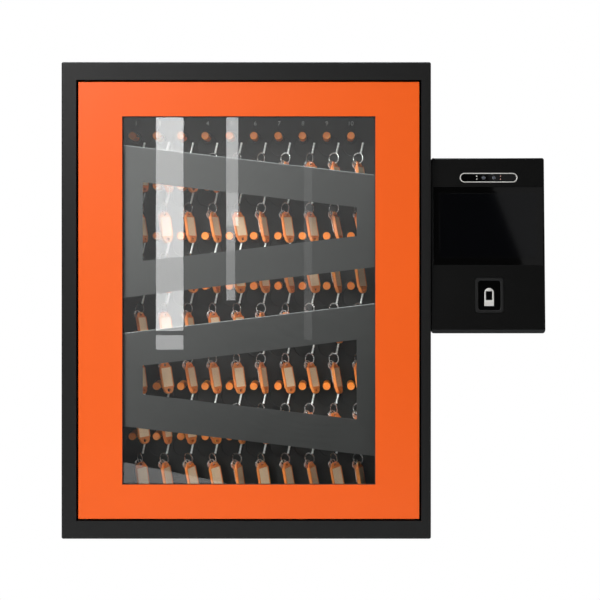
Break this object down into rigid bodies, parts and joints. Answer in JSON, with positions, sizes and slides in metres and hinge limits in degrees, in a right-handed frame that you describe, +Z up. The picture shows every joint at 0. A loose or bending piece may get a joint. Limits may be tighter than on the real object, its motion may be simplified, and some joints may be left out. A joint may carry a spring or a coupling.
{
  "type": "electronic key cabinet",
  "caption": "Wall-hung electronic key cabinet with a glazed hinged door, a grid of plug-in key fobs with tagged keys, and a touch-screen access terminal on its side.",
  "frame": {"origin": "centre of the four wall holes, on the cabinet's back face", "axes": "+Z up, +X to the right as seen from the front, +Y towards the wall, so the door faces -Y"},
  "size_m": [0.776, 0.2, 0.766],
  "materials": {
    "body_paint": "fine-texture powder coat",
    "back_steel": "smooth powder coat",
    "door_paint": "smooth satin powder coat",
    "lining_paint": "satin powder coat",
    "panel_paint": "matt powder coat",
    "window_glass": "clear float",
    "film": "satin film",
    "seal_rubber": "matt",
    "clamp_aluminium": "mill",
    "hard_steel": "zinc plated",
    "bush_brass": "turned",
    "black_plastic": "fine spark texture",
    "supply_case": "mill",
    "circuit_board": "solder mask",
    "fob_plastic": "satin moulded",
    "seal_cable": "stranded, with a bright crimp",
    "ring_steel": "nickel plated",
    "tag_plastic": "translucent amber",
    "key_nickel": "nickel silver",
    "terminal_plastic": "satin",
    "screen_glass": "polished black",
    "screen": "switched off",
    "bright_trim": "satin chrome",
    "lens_glass": "coated glass"
  },
  "bodies": {
    "cabinet": {"carcass": "body_paint", "back_plate": "back_steel", "door_jamb": "body_paint", "door_seal": "seal_rubber", "hinge_pins": "hard_steel", "cable_grommet": "seal_rubber", "key_panel": "panel_paint", "receptor_bezels": "black_plastic", "receptor_rails": "black_plastic", "controller_board": "circuit_board", "power_supply": "supply_case", "backup_battery": "black_plastic", "lock_body": "black_plastic", "cabinet_screws": "hard_steel", "key_fobs": "fob_plastic", "key_seals": "seal_cable", "key_rings": "ring_steel", "key_tags": "tag_plastic", "keys": "key_nickel", "terminal_shell": "black_plastic", "terminal_cover": "terminal_plastic", "touch_glass": "screen_glass", "display_panel": "screen", "camera_ring": "bright_trim", "camera_window": "screen_glass", "camera_lenses": "lens_glass", "reader_bezel": "terminal_plastic", "reader_arch": "bright_trim", "reader_window": "screen_glass", "terminal_board": "circuit_board"},
    "door": {"door_skin": "door_paint", "door_lining": "lining_paint", "window_glass": "window_glass", "privacy_bands": "film", "glass_gasket": "seal_rubber", "glass_retainer": "clamp_aluminium", "lock_keeper": "hard_steel", "hinge_bushes": "bush_brass", "door_screws": "hard_steel"},
    "latch_bolt": {"latch_bolt": "hard_steel"},
    "key_fob_01": {"key_fob_01": "fob_plastic"},
    "key_set_01": {"key_set_01": "seal_cable"},
    "key_fob_02": {"key_fob_02": "fob_plastic"},
    "key_set_02": {"key_set_02": "seal_cable"},
    "key_fob_03": {"key_fob_03": "fob_plastic"},
    "key_set_03": {"key_set_03": "seal_cable"},
    "key_fob_04": {"key_fob_04": "fob_plastic"},
    "key_set_04": {"key_set_04": "seal_cable"},
    "key_fob_05": {"key_fob_05": "fob_plastic"},
    "key_set_05": {"key_set_05": "seal_cable"},
    "key_fob_06": {"key_fob_06": "fob_plastic"},
    "key_set_06": {"key_set_06": "seal_cable"},
    "key_fob_07": {"key_fob_07": "fob_plastic"},
    "key_set_07": {"key_set_07": "seal_cable"},
    "key_fob_08": {"key_fob_08": "fob_plastic"},
    "key_set_08": {"key_set_08": "seal_cable"},
    "key_fob_09": {"key_fob_09": "fob_plastic"},
    "key_set_09": {"key_set_09": "seal_cable"},
    "key_fob_10": {"key_fob_10": "fob_plastic"},
    "key_set_10": {"key_set_10": "seal_cable"}
  },
  "joints": [
    {"name": "door_hinge", "type": "hinge", "parent": "cabinet", "child": "door", "pos_m": [-0.259, -0.1915, 0], "axis": [0, 0, -1], "range_deg": [0, 110]},
    {"name": "latch_bolt_slide", "type": "slide", "parent": "cabinet", "child": "latch_bolt", "axis": [1, 0, 0], "range_m": [0, 0.0095], "stiffness_N_per_m": 150, "springref_m": -0.006},
    {"name": "key_fob_01_pull", "type": "slide", "parent": "cabinet", "child": "key_fob_01", "axis": [0, -1, 0], "range_m": [0, 0.032]},
    {"name": "key_set_01_swing", "type": "hinge", "parent": "key_fob_01", "child": "key_set_01", "pos_m": [-0.1985, -0.11, 0.27175], "axis": [-1, 0, 0], "range_deg": [0, 12]},
    {"name": "key_fob_02_pull", "type": "slide", "parent": "cabinet", "child": "key_fob_02", "axis": [0, -1, 0], "range_m": [0, 0.032]},
    {"name": "key_set_02_swing", "type": "hinge", "parent": "key_fob_02", "child": "key_set_02", "pos_m": [-0.1576, -0.11, 0.27175], "axis": [-1, 0, 0], "range_deg": [0, 12]},
    {"name": "key_fob_03_pull", "type": "slide", "parent": "cabinet", "child": "key_fob_03", "axis": [0, -1, 0], "range_m": [0, 0.032]},
    {"name": "key_set_03_swing", "type": "hinge", "parent": "key_fob_03", "child": "key_set_03", "pos_m": [-0.1167, -0.11, 0.27175], "axis": [-1, 0, 0], "range_deg": [0, 12]},
    {"name": "key_fob_04_pull", "type": "slide", "parent": "cabinet", "child": "key_fob_04", "axis": [0, -1, 0], "range_m": [0, 0.032]},
    {"name": "key_set_04_swing", "type": "hinge", "parent": "key_fob_04", "child": "key_set_04", "pos_m": [-0.0758, -0.11, 0.27175], "axis": [-1, 0, 0], "range_deg": [0, 12]},
    {"name": "key_fob_05_pull", "type": "slide", "parent": "cabinet", "child": "key_fob_05", "axis": [0, -1, 0], "range_m": [0, 0.032]},
    {"name": "key_set_05_swing", "type": "hinge", "parent": "key_fob_05", "child": "key_set_05", "pos_m": [-0.0349, -0.11, 0.27175], "axis": [-1, 0, 0], "range_deg": [0, 12]},
    {"name": "key_fob_06_pull", "type": "slide", "parent": "cabinet", "child": "key_fob_06", "axis": [0, -1, 0], "range_m": [0, 0.032]},
    {"name": "key_set_06_swing", "type": "hinge", "parent": "key_fob_06", "child": "key_set_06", "pos_m": [0.006, -0.11, 0.27175], "axis": [-1, 0, 0], "range_deg": [0, 12]},
    {"name": "key_fob_07_pull", "type": "slide", "parent": "cabinet", "child": "key_fob_07", "axis": [0, -1, 0], "range_m": [0, 0.032]},
    {"name": "key_set_07_swing", "type": "hinge", "parent": "key_fob_07", "child": "key_set_07", "pos_m": [0.0469, -0.11, 0.27175], "axis": [-1, 0, 0], "range_deg": [0, 12]},
    {"name": "key_fob_08_pull", "type": "slide", "parent": "cabinet", "child": "key_fob_08", "axis": [0, -1, 0], "range_m": [0, 0.032]},
    {"name": "key_set_08_swing", "type": "hinge", "parent": "key_fob_08", "child": "key_set_08", "pos_m": [0.0878, -0.11, 0.27175], "axis": [-1, 0, 0], "range_deg": [0, 12]},
    {"name": "key_fob_09_pull", "type": "slide", "parent": "cabinet", "child": "key_fob_09", "axis": [0, -1, 0], "range_m": [0, 0.032]},
    {"name": "key_set_09_swing", "type": "hinge", "parent": "key_fob_09", "child": "key_set_09", "pos_m": [0.1287, -0.11, 0.27175], "axis": [-1, 0, 0], "range_deg": [0, 12]},
    {"name": "key_fob_10_pull", "type": "slide", "parent": "cabinet", "child": "key_fob_10", "axis": [0, -1, 0], "range_m": [0, 0.032]},
    {"name": "key_set_10_swing", "type": "hinge", "parent": "key_fob_10", "child": "key_set_10", "pos_m": [0.1696, -0.11, 0.27175], "axis": [-1, 0, 0], "range_deg": [0, 12]}
  ]
}
